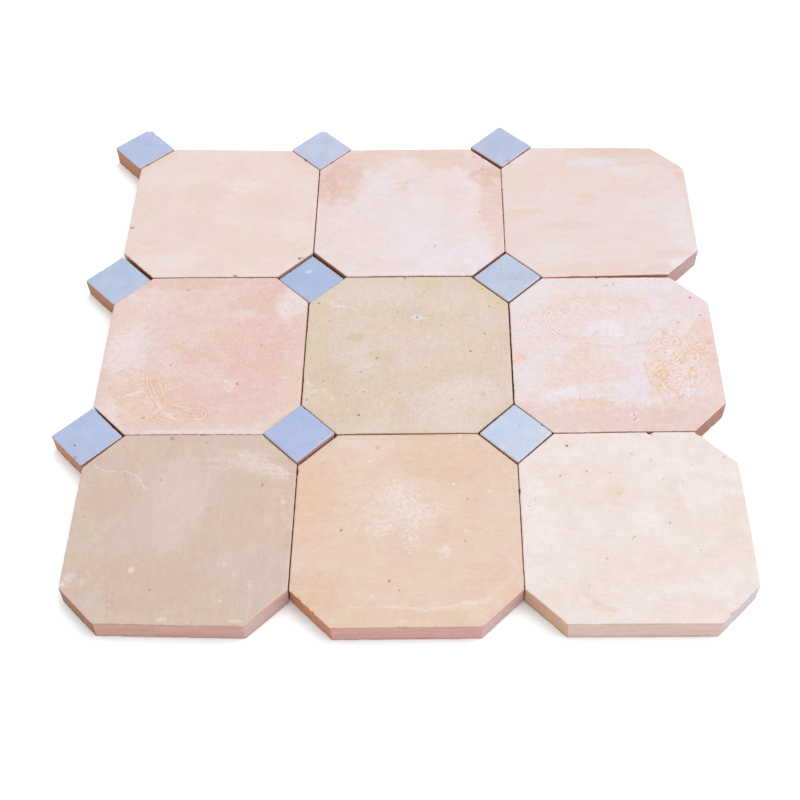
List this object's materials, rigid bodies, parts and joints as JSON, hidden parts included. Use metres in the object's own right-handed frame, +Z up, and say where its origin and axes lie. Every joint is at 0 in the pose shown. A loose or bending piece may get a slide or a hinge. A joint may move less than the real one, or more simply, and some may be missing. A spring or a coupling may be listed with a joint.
{
  "type": "zellige tile sheet",
  "caption": "Square sheet of hand-cut terracotta octagon floor tiles with small blue-glazed square inserts in the notches between them, laid dry.",
  "frame": {"origin": "middle of the centre octagon's underside, which is the middle of the three by three grid", "axes": "+Z up out of the face, +X along a row to the right, +Y to the back, the side where the inserts stand out"},
  "size_m": [0.3173, 0.3188, 0.0118],
  "materials": {
    "peach_clay": "unglazed, rubbed smooth",
    "rose_clay": "unglazed, rubbed smooth",
    "salmon_clay": "unglazed, rubbed smooth",
    "olive_clay": "unglazed, rubbed smooth",
    "fawn_clay": "unglazed, rubbed smooth",
    "apricot_clay": "unglazed, rubbed smooth",
    "ivory_clay": "unglazed, rubbed smooth",
    "blue_glaze": "satin glaze on the face, bare clay below"
  },
  "bodies": {
    "root": {"octagon_back_left": "peach_clay", "octagon_back_centre": "rose_clay", "octagon_back_right": "peach_clay", "octagon_middle_left": "salmon_clay", "octagon_centre": "olive_clay", "octagon_middle_right": "rose_clay", "octagon_front_left": "fawn_clay", "octagon_front_centre": "apricot_clay", "octagon_front_right": "ivory_clay", "insert_back_left": "blue_glaze", "insert_back_centre": "blue_glaze", "insert_back_right": "blue_glaze", "insert_middle_left": "blue_glaze", "insert_middle_centre": "blue_glaze", "insert_middle_right": "blue_glaze", "insert_front_left": "blue_glaze", "insert_front_centre": "blue_glaze", "insert_front_right": "blue_glaze"}
  },
  "joints": []
}
